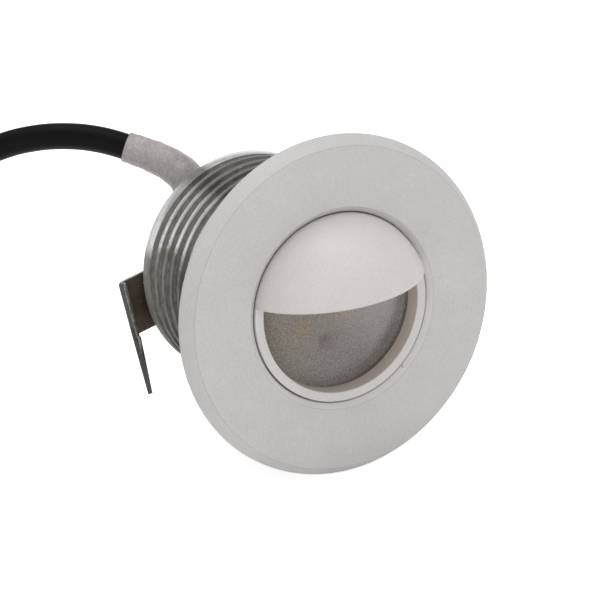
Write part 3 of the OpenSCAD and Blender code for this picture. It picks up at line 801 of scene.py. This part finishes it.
streak_noise = node(lathe_marks, "TexNoise", {"Vector": streak_place, "Scale": 1, "Detail": 4})
lathe_marks.links.new(radius, result["Radius"])
lathe_marks.links.new(ring_noise.outputs["Fac"], result["Rings"])
lathe_marks.links.new(streak_noise.outputs["Fac"], result["Streaks"])

land_r = 20.25
land_edge_from = 0.26
land_edge_to = 0.18
groove_pitch = 2.95
groove_from = 29.05
rim_from = 30.5
dull_metal = (0.43, 0.412, 0.4)
bright_metal = (0.8, 0.79, 0.79)
bare, tree, sockets = new_material("turned_aluminium", Specular_IOR_Level=0.2)
marks = place_group(tree, lathe_marks, Pitch=0.22)
x, y, z = coordinates(tree)
crisp = place_group(tree, blotches, Size=0.2, Detail=2)["Tone"]

# Clean metal: it lies on the lands, streaked by the tool, and is torn away along each land's edge
on_land = ramp(tree, marks["Radius"], start=land_r - land_edge_from, stop=land_r - land_edge_to)
in_pitch = math_node(tree, "WRAP", y, groove_from, groove_from - groove_pitch)
from_groove = math_node(tree, "SUBTRACT", groove_from, in_pitch)
off_edge = total(tree, from_groove, above(tree, y, rim_from))
ragged = ramp(tree, crisp, start=0.42, stop=0.58)
torn = ramp(tree, total(tree, off_edge, span(tree, ragged, -0.4, 0.3)), start=0.05, stop=0.3)
worn = product(tree, on_land, torn)
streaked = span(tree, marks["Streaks"], 0.65, 1.35)
ringed = span(tree, marks["Rings"], 0.75, 1.25)
clean = product(tree, worn, streaked, ringed)
metal = blend(tree, dull_metal, bright_metal, clean)

# Top shade: painted shade where the surface faces up, by the cosine of the angle from the top, which
# leans a little to the left, and darker towards the flange as painted shadow. It is thick on the lands,
# thinner on the groove walls, and off the rear rim's right part. It also dulls the metal there.
top_shade_up = 0.995
top_shade_left = -0.1
top_shade_edge = 0.06
front_wall_shade = 0.6
least_wall_shade = 0.2
top_shade_rear = (0.078, 0.07, 0.065)
top_shade_front = (0.045, 0.041, 0.038)
upward = total(tree, product(tree, z, top_shade_up), product(tree, x, top_shade_left))
from_top = math_node(tree, "DIVIDE", upward, marks["Radius"])
ragged_top = total(tree, from_top, span(tree, crisp, -top_shade_edge, top_shade_edge))
top_shade = ramp(tree, ragged_top, start=0.855, stop=0.93)
on_right_rim = product(tree, above(tree, y, rim_from), ramp(tree, x, start=-6.5, stop=-4.5))
off_right_rim = math_node(tree, "SUBTRACT", 1, on_right_rim)
to_top = ramp(tree, x, start=-12, stop=-9)
past_patch = ramp(tree, x, start=-7, stop=-3, low=0.7, high=0.1)
to_front = ramp(tree, y, start=27, stop=23)
wall_shade = math_node(tree, "MAXIMUM", past_patch, product(tree, to_front, front_wall_shade))
on_walls = math_node(tree, "MULTIPLY_ADD", to_top, wall_shade, least_wall_shade)
shaded_parts = math_node(tree, "MAXIMUM", on_land, on_walls)
top_shade = product(tree, top_shade, off_right_rim, shaded_parts)
# The painted shade is darker towards the flange, as painted shadow
top_shade_tone = blend(tree, top_shade_rear, top_shade_front, to_front)
metal = blend(tree, metal, top_shade_tone, product(tree, top_shade, span(tree, marks["Rings"], 0.5, 1.1)))

# Shade film: a dull layer whose colour is painted dark reflection. Its upper edge is ragged, rises
# towards the front and stays lower at both ends of the body
shade_film_from_z = 11
shade_film_to_z = 8
shade_film_slope = 0.12
shade_film_level_y = 27
shade_film_middle_y = 25.5
shade_film_held_back = 2.2
shade_film_from_x = 3
shade_film_to_x = -5
shade_film_cover = 0.92
shade_film_thicker_on_lands = 0.32
shade_film_dark = (0.09, 0.084, 0.07)
shade_film_pale = (0.4, 0.385, 0.335)
smear = place_group(tree, blotches, Size=4, Detail=6)["Tone"]
spread = total(tree, span(tree, smear, -5, 5), span(tree, crisp, -1.5, 1.5))
held_back = ramp(tree, away_from(tree, y, shade_film_middle_y), start=4, stop=6, high=shade_film_held_back)
sloping = math_node(tree, "MULTIPLY_ADD", y, shade_film_slope, -shade_film_slope * shade_film_level_y)
shade_film_height = ramp(tree, total(tree, z, held_back, spread, sloping), shade_film_from_z, shade_film_to_z)
shade_film_side = ramp(tree, total(tree, x, spread), shade_film_from_x, shade_film_to_x, high=shade_film_cover)
shade_film = product(tree, shade_film_height, shade_film_side)
# The painted reflection is lighter towards the rear and darker towards the bottom
to_rear = ramp(tree, y, start=18, stop=33, low=-0.36, high=0.25)
to_bottom = ramp(tree, z, start=-2, stop=-11, high=0.5)
streak_tone = span(tree, marks["Streaks"], -0.1, 1.5)
on_grooves = math_node(tree, "SUBTRACT", streak_tone, product(tree, on_land, shade_film_thicker_on_lands))
shade_film_tone = total(tree, on_grooves, math_node(tree, "SUBTRACT", to_rear, to_bottom))
metal = blend(tree, metal, blend(tree, shade_film_dark, shade_film_pale, shade_film_tone), shade_film)

# Scuffs, a painted shade line along the top of each groove wall, and a few painted glints
edge_shade_r = 19.87
edge_shade_w = 0.2
edge_shade_share = 0.35
painted_glint_share = 0.7
scuff_shade = (0.035, 0.033, 0.03)
edge_shade_tone = (0.03, 0.028, 0.025)
painted_glint_tone = (0.92, 0.91, 0.9)
scuffs = place_group(tree, blotches, Size=1.1, Detail=6)["Tone"]
scuffed = product(tree, span(tree, scuffs, -1.3, 1.9), span(tree, worn, 0.4, 0.12))
metal = blend(tree, metal, scuff_shade, scuffed)
# Painted shade: a dark line along the top of each groove wall
edge_shade = below(tree, away_from(tree, marks["Radius"], edge_shade_r), edge_shade_w / 2)
metal = blend(tree, metal, edge_shade_tone, product(tree, edge_shade, edge_shade_share))
# Painted glints: small bright specks in the colour
painted_glints = place_group(tree, specks, Spacing=1.3, Size=0.1, Amount=0.4)["Mask"]
tone(tree, metal, painted_glint_tone, product(tree, painted_glints, painted_glint_share), sockets["Base Color"])

mirroring = span(tree, clean, 0.3, 0.7)
under_shade_film = span(tree, shade_film, 1, 0.05)
under_top_shade = span(tree, top_shade, 1, 0.15)
tree.links.new(product(tree, mirroring, under_shade_film, under_top_shade), sockets["Metallic"])
bare_matt = total(tree, span(tree, clean, 0.34, 0.2), span(tree, ragged, 0, 0.06))
shade_masks_matt = total(tree, span(tree, shade_film, 0, 0.35), span(tree, top_shade, 0, 0.25))
tree.links.new(total(tree, bare_matt, shade_masks_matt), sockets["Roughness"])
ring_normal = relief(tree, marks["Rings"], 0.02, sockets)
relief(tree, crisp, 0.012, sockets, ring_normal)
rounded_copy("grooved_housing", "housing", 0.1, bare)

# Spring clips: strips of spring steel, cut, bent and heat-blued, with a lip along the outer edge.
# The cut edges are left bright, and each outer corner is rounded.
body_turn = 7
clip_w = 10.4
clip_t = 0.7
clip_reach = 24.1
clip_bend_r = 18.8
clip_rake = math.radians(8)
clip_y = 34.85
clip_corner = 0.75
clip_span = (clip_reach - clip_bend_r) / math.cos(clip_rake)
blued, tree, sockets = new_material("blued_spring_steel", Metallic=0.7, Specular_IOR_Level=0.3)
heat = place_group(tree, blotches, Size=3.5, Detail=6)["Tone"]
pits = place_group(tree, specks, Spacing=1.1, Size=0.12, Amount=0.35)["Mask"]
scale = blend(tree, (0.1, 0.076, 0.056), (0.19, 0.15, 0.12), span(tree, heat, -0.3, 1.3))
tone(tree, scale, (0.4, 0.37, 0.35), pits, sockets["Base Color"])
span(tree, heat, 0.34, 0.55, sockets["Roughness"])
relief(tree, place_group(tree, blotches, Size=0.3, Detail=4)["Tone"], 0.03, sockets)

cut_steel, tree, sockets = new_material("cut_steel_edge", Metallic=1)
shear = place_group(tree, blotches, Size=0.6, Detail=5)["Tone"]
# Darker towards the bottom of the tongue
lower_darkening = ramp(tree, coordinates(tree)["Z"], start=-9, stop=-13, high=1.5)
edge_tone = math_node(tree, "SUBTRACT", span(tree, shear, -0.3, 1.6), lower_darkening)
tone(tree, (0.09, 0.084, 0.08), (0.78, 0.76, 0.75), edge_tone, sockets["Base Color"])
span(tree, shear, 0.45, 0.3, sockets["Roughness"])
relief(tree, shear, 0.05, sockets)

outer_scale, tree, sockets = new_material("outer_scale", Specular_IOR_Level=0.15)
soot = place_group(tree, blotches, Size=0.7, Detail=5)["Tone"]
# Lighter above the tongue than on it
rubbed = ramp(tree, coordinates(tree)["Z"], start=-6.5, stop=-4, high=2)
scale_tone = total(tree, span(tree, soot, -0.5, 1.5), rubbed)
tone(tree, (0.014, 0.012, 0.01), (0.12, 0.112, 0.105), scale_tone, sockets["Base Color"])
span(tree, soot, 0.55, 0.75, sockets["Roughness"])


def on_clip(point, side):
    """A point or direction in the clip's own terms: outward, backward and up."""
    unturned = Matrix.Rotation(math.radians(body_turn), 3, "Y") @ point
    return Vector((side * unturned.x, unturned.y, unturned.z))


def along_wing(vector):
    """Turns a vector of on_clip back by the wing's forward lean."""
    return Matrix.Rotation(clip_rake, 3, "Z") @ vector


# How near to an edge a point counts as on it, in millimetres, and how squarely a face must face a way
at_edge = 0.05
squarely = 0.8
cut_slot = 1
outer_slot = 2
for side, hand in ((-1, "left"), (1, "right")):
    wing = copy_of_node(hand + "_wing", "clip_wing_" + hand)
    bend = Vector((clip_bend_r, clip_y, 0))
    outer = {
        vertex.index for vertex in wing.data.vertices
        if along_wing(on_clip(vertex.co / MM, side) - bend).x > clip_span - at_edge
        and on_clip(vertex.co / MM, side).z > clip_w / 2 - at_edge
    }
    select_only(wing)
    bpy.ops.object.mode_set(mode="EDIT")
    bpy.ops.mesh.select_mode(type="EDGE")
    bpy.ops.mesh.select_all(action="DESELECT")
    bpy.ops.object.mode_set(mode="OBJECT")
    for edge in wing.data.edges:
        edge.select = set(edge.vertices) <= outer
    bpy.ops.object.mode_set(mode="EDIT")
    bpy.ops.mesh.bevel(offset=clip_corner * MM, segments=5, affect="EDGES")
    bpy.ops.object.mode_set(mode="OBJECT")
    round_edges(wing, 0.12, 2)
    stand_for(wing, "clip_wing_" + hand, blued, cut_steel, outer_scale)
    for face in wing.data.polygons:
        place = along_wing(on_clip(face.center / MM, side) - bend)
        facing = along_wing(on_clip(face.normal, side))
        front_edge = facing.y < -squarely and place.x > clip_span - clip_t - at_edge
        if front_edge or abs(facing.z) > squarely:
            face.material_index = cut_slot
        if facing.x > squarely:
            face.material_index = outer_slot
    rounded_copy(hand + "_foot", "clip_foot_" + hand, 0.1, blued)

# Rear cover: a turned aluminium disc, left as machined, that closes the driver's cavity.
# It is screwed to the housing with an O-ring under it, and carries the clips and the gland.
machined, tree, sockets = new_material("machined_cover", Metallic=1)
marks = place_group(tree, lathe_marks, Pitch=0.3)
tone(tree, (0.36, 0.355, 0.35), (0.56, 0.555, 0.55), marks["Streaks"], sockets["Base Color"])
span(tree, place_group(tree, blotches, Size=3, Detail=5)["Tone"], 0.28, 0.5, sockets["Roughness"])
relief(tree, marks["Rings"], 0.03, sockets)
rounded_copy("cover_disc", "rear_cover", 0.15, machined)

# Screws: small steel pan heads, cold-formed with a cross recess and plated with zinc.
# They hold the cover, the clips and the two boards.
zinc, tree, sockets = new_material("zinc_plate", Metallic=1)
plating = place_group(tree, blotches, Size=1.5, Detail=4)["Tone"]
tone(tree, (0.4, 0.4, 0.4), (0.58, 0.58, 0.57), plating, sockets["Base Color"])
span(tree, plating, 0.22, 0.42, sockets["Roughness"])
for node_name in ("cover_screws", "clip_screws", "board_screws", "driver_screws"):
    rounded_copy(node_name + "_zinc", node_name, 0.12, zinc)

# Cable gland: black nylon mouldings, a body with a hexagon, a nut inside the cover, and a screwed cap.
# The cap squeezes the seal onto the cord and has moulded ribs to grip it by.
cap_r = 5.2
cap_y = 36.5
cap_h = 3.5
rib_n = 18
rib_w = 0.6
rib_out = 0.25
rib_root = 0.3
rib_front = 0.3
rib_back = 1.3
rounded_copy("gland_hexagon", "gland_body", 0.2, nylon)
rounded_copy("gland_nut", "gland_locknut", 0.2, nylon)
rounded_copy("gland_cap_moulding", "gland_cap", 0.25, nylon)
ribs = add_block(
    "ribs",
    (cap_r - rib_root, cap_y + rib_front, -rib_w / 2),
    (cap_r + rib_out, cap_y + cap_h - rib_back, rib_w / 2),
)
round_edges(ribs, 0.12)
bpy.ops.object.mode_set(mode="EDIT")
bpy.ops.mesh.select_all(action="SELECT")
bpy.ops.mesh.spin(
    steps=rib_n, angle=2 * math.pi, center=(0, 0, 0), axis=(0, 1, 0), dupli=True, use_auto_merge=False,
)
bpy.ops.mesh.select_all(action="SELECT")
bpy.ops.mesh.remove_doubles(threshold=weld_gap * MM)
bpy.ops.object.mode_set(mode="OBJECT")
give(ribs, nylon)
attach(ribs, "lamp")
ribs.name = "gland_cap_ribs"

# Seals: O-rings and a cord seal, moulded in black silicone rubber and pressed into their seats.
# The short length of cord that the seal grips inside the gland is of the same PVC as the jacket.
rubber, tree, sockets = new_material("silicone_rubber", Specular_IOR_Level=0.3)
bloom = place_group(tree, blotches, Size=1.5, Detail=5)["Tone"]
tone(tree, (0.012, 0.012, 0.012), (0.035, 0.035, 0.034), bloom, sockets["Base Color"])
span(tree, bloom, 0.5, 0.75, sockets["Roughness"])
for node_name in ("front_o_ring", "cover_o_ring", "gland_seal"):
    rounded_copy(node_name + "_moulding", node_name, 0.08, rubber)
rounded_copy("cord_in_gland", "cord_entry", 0.15, jacket)

# Light chamber: a cone moulded in white polycarbonate, which drops into the housing round the LEDs.
# Its satin face spreads their light over the lens.
satin_white, tree, sockets = new_material("satin_white", Specular_IOR_Level=0.4)
moulded = place_group(tree, blotches, Size=2, Detail=3)["Tone"]
tone(tree, (0.78, 0.78, 0.76), (0.86, 0.86, 0.84), moulded, sockets["Base Color"])
span(tree, moulded, 0.35, 0.5, sockets["Roughness"])
rounded_copy("reflector_cone", "light_chamber", 0.15, satin_white)

# LED board: an aluminium board under white solder mask, screwed down, with four LEDs soldered on.
# Each LED is a white case filled with yellow phosphor. The lens gasket above them is milky silicone.
mask_white, tree, sockets = new_material("white_solder_mask", Roughness=0.3)
print_tone = place_group(tree, blotches, Size=1.2, Detail=4)["Tone"]
tone(tree, (0.68, 0.68, 0.64), (0.8, 0.8, 0.76), print_tone, sockets["Base Color"])
relief(tree, print_tone, 0.03, sockets)
rounded_copy("led_board_disc", "led_board", 0.1, mask_white)
rounded_copy("milky_gasket", "lens_gasket", 0.08, satin_white)
phosphor, tree, sockets = new_material("led_phosphor", Roughness=0.45)
gel = place_group(tree, blotches, Size=0.6, Detail=3)["Tone"]
tone(tree, (0.95, 0.6, 0.03), (1, 0.76, 0.1), gel, sockets["Base Color"])
led_seat_y = 7.2
phosphor_slot = 1
front_on = 0.9
leds = rounded_copy("led_cases", "led_packages", 0.08, satin_white)
leds.data.materials.append(phosphor)
for face in leds.data.polygons:
    if face.normal.y < -front_on and face.center.y > (led_seat_y - at_edge) * MM:
        face.material_index = phosphor_slot

# Thermal pad: a soft grey-blue silicone sheet, cut to a disc and laid under the LED board.
# It carries the board's heat into the housing.
pad, tree, sockets = new_material("silicone_pad", Specular_IOR_Level=0.2)
weave = place_group(tree, blotches, Size=0.6, Detail=4)["Tone"]
tone(tree, (0.3, 0.34, 0.38), (0.4, 0.45, 0.5), weave, sockets["Base Color"])
span(tree, weave, 0.65, 0.85, sockets["Roughness"])
relief(tree, weave, 0.05, sockets)
rounded_copy("thermal_disc", "thermal_pad", 0.08, pad)

# Inner wires: stranded copper in PVC, red to the LEDs and blue to the supply.
# They are soldered to the boards and lie loose between them.
for name, node_name, low_tone, high_tone in (
    ("led_wire_pair", "led_wires", (0.5, 0.2, 0.17), (0.64, 0.3, 0.26)),
    ("supply_wire_pair", "supply_wires", (0.015, 0.07, 0.3), (0.035, 0.13, 0.44)),
):
    wire_skin, tree, sockets = new_material(name + "_skin", Roughness=0.4)
    skin_tone = place_group(tree, blotches, Size=1, Detail=4)["Tone"]
    tone(tree, low_tone, high_tone, skin_tone, sockets["Base Color"])
    rounded_copy(name, node_name, 0.12, wire_skin)

# Driver board: green glass-epoxy, screwed into the housing's rear cavity, with the parts soldered on:
# a wound ferrite inductor, a capacitor in a black sleeve, a controller chip and four diodes.
epoxy, tree, sockets = new_material("green_solder_mask", Roughness=0.3)
tracks = place_group(tree, specks, Spacing=1.4, Size=0.5, Amount=0.4)["Mask"]
tone(tree, (0.012, 0.1, 0.045), (0.03, 0.17, 0.08), tracks, sockets["Base Color"])
relief(tree, tracks, 0.03, sockets)
rounded_copy("driver_board_plate", "driver_board", 0.1, epoxy)
winding_radians_per_mm = 18
ferrite, tree, sockets = new_material("copper_and_ferrite", Roughness=0.45)
turns = math_node(tree, "SINE", product(tree, coordinates(tree)["Y"], winding_radians_per_mm))
tone(tree, (0.2, 0.07, 0.025), (0.45, 0.18, 0.07), span(tree, turns, 0, 1), sockets["Base Color"])
relief(tree, turns, 0.05, sockets)
rounded_copy("inductor_drum", "driver_inductor", 0.15, ferrite)
sleeve_black, tree, sockets = new_material("capacitor_sleeve", Roughness=0.35)
shrunk = place_group(tree, blotches, Size=1.5, Detail=4)["Tone"]
tone(tree, (0.012, 0.012, 0.014), (0.03, 0.03, 0.034), shrunk, sockets["Base Color"])
span(tree, shrunk, 0.28, 0.45, sockets["Roughness"])
rounded_copy("capacitor_can", "driver_capacitor", 0.35, sleeve_black, 3)
chip_black, tree, sockets = new_material("moulded_epoxy", Specular_IOR_Level=0.35)
filler = place_group(tree, blotches, Size=0.3, Detail=4)["Tone"]
tone(tree, (0.016, 0.016, 0.016), (0.035, 0.035, 0.035), filler, sockets["Base Color"])
span(tree, filler, 0.5, 0.7, sockets["Roughness"])
rounded_copy("driver_chip_set", "driver_chips", 0.1, chip_black)

# Table: a plain matt white board that the light stands on, and that takes its soft shadow.
# It glows a little to the camera and in mirrors, so that it looks as white as the backdrop.
table_size = 6
table_glow = 0.7
bpy.ops.mesh.primitive_plane_add(size=table_size, location=(0, 0, floor_z * MM))
table = bpy.context.object
table.name = "table"
white, tree, sockets = new_material("white_table", Base_Color=(0.9, 0.9, 0.9, 1), Roughness=0.7)
sight = node(tree, "LightPath").outputs
mirrored = math_node(tree, "MAXIMUM", sight["Is Glossy Ray"], sight["Is Transmission Ray"])
seen = math_node(tree, "MAXIMUM", sight["Is Camera Ray"], mirrored)
glow = node(tree, "Emission", {"Color": (1, 1, 1, 1), "Strength": product(tree, seen, table_glow)})
both = node(tree, "AddShader", {0: tree.nodes["Principled BSDF"].outputs[0], 1: glow.outputs[0]})
tree.links.new(both.outputs[0], tree.nodes["Material Output"].inputs["Surface"])
give(table, white)

# Studio light: a room with a white backdrop all round up to a height, as metal and glass mirror it, and
# a dim ceiling above. One large soft box hangs overhead in front, one stands on the left, and one on top.
room_light = 0.495
ceiling_glow = 0.3
backdrop_top = 0.42
ceiling_from = 0.5
room = bpy.data.worlds.new("pale_room")
bpy.context.scene.world = room
room.use_nodes = True
tree = room.node_tree
backdrop = tree.nodes["Background"]
sight = node(tree, "LightPath").outputs
mirrored = math_node(tree, "MAXIMUM", sight["Is Glossy Ray"], sight["Is Transmission Ray"])
height = node(tree, "SeparateXYZ", {0: node(tree, "TexCoord").outputs["Generated"]}).outputs["Z"]
mirrored_room = node(tree, "MapRange", {
    "Value": height, "From Min": backdrop_top, "From Max": ceiling_from,
    "To Min": 1, "To Max": ceiling_glow,
}, interpolation_type="SMOOTHSTEP").outputs[0]
lit = node(tree, "Mix", {"Factor": mirrored, "A": room_light, "B": mirrored_room}).outputs["Result"]
tree.links.new(math_node(tree, "MAXIMUM", lit, sight["Is Camera Ray"]), backdrop.inputs["Strength"])
backdrop.inputs["Color"].default_value = (1, 1, 1, 1)


def soft_box(name, place, size, power):
    """A square area lamp that looks at the object."""
    lamp = bpy.data.lights.new(name, "AREA")
    lamp.size = size
    lamp.energy = power
    box = bpy.data.objects.new(name, lamp)
    box.location = place
    box.rotation_euler = (-Vector(place)).to_track_quat("-Z", "Y").to_euler()
    bpy.context.scene.collection.objects.link(box)


soft_box("overhead_box", (-0.05, -0.85, 1.08), size=1.1, power=2.9)
soft_box("front_fill", (-0.3, -1.38, 0.16), size=0.8, power=3.3)
soft_box("top_light", (0, 0.2, 1.2), size=0.8, power=5.6)
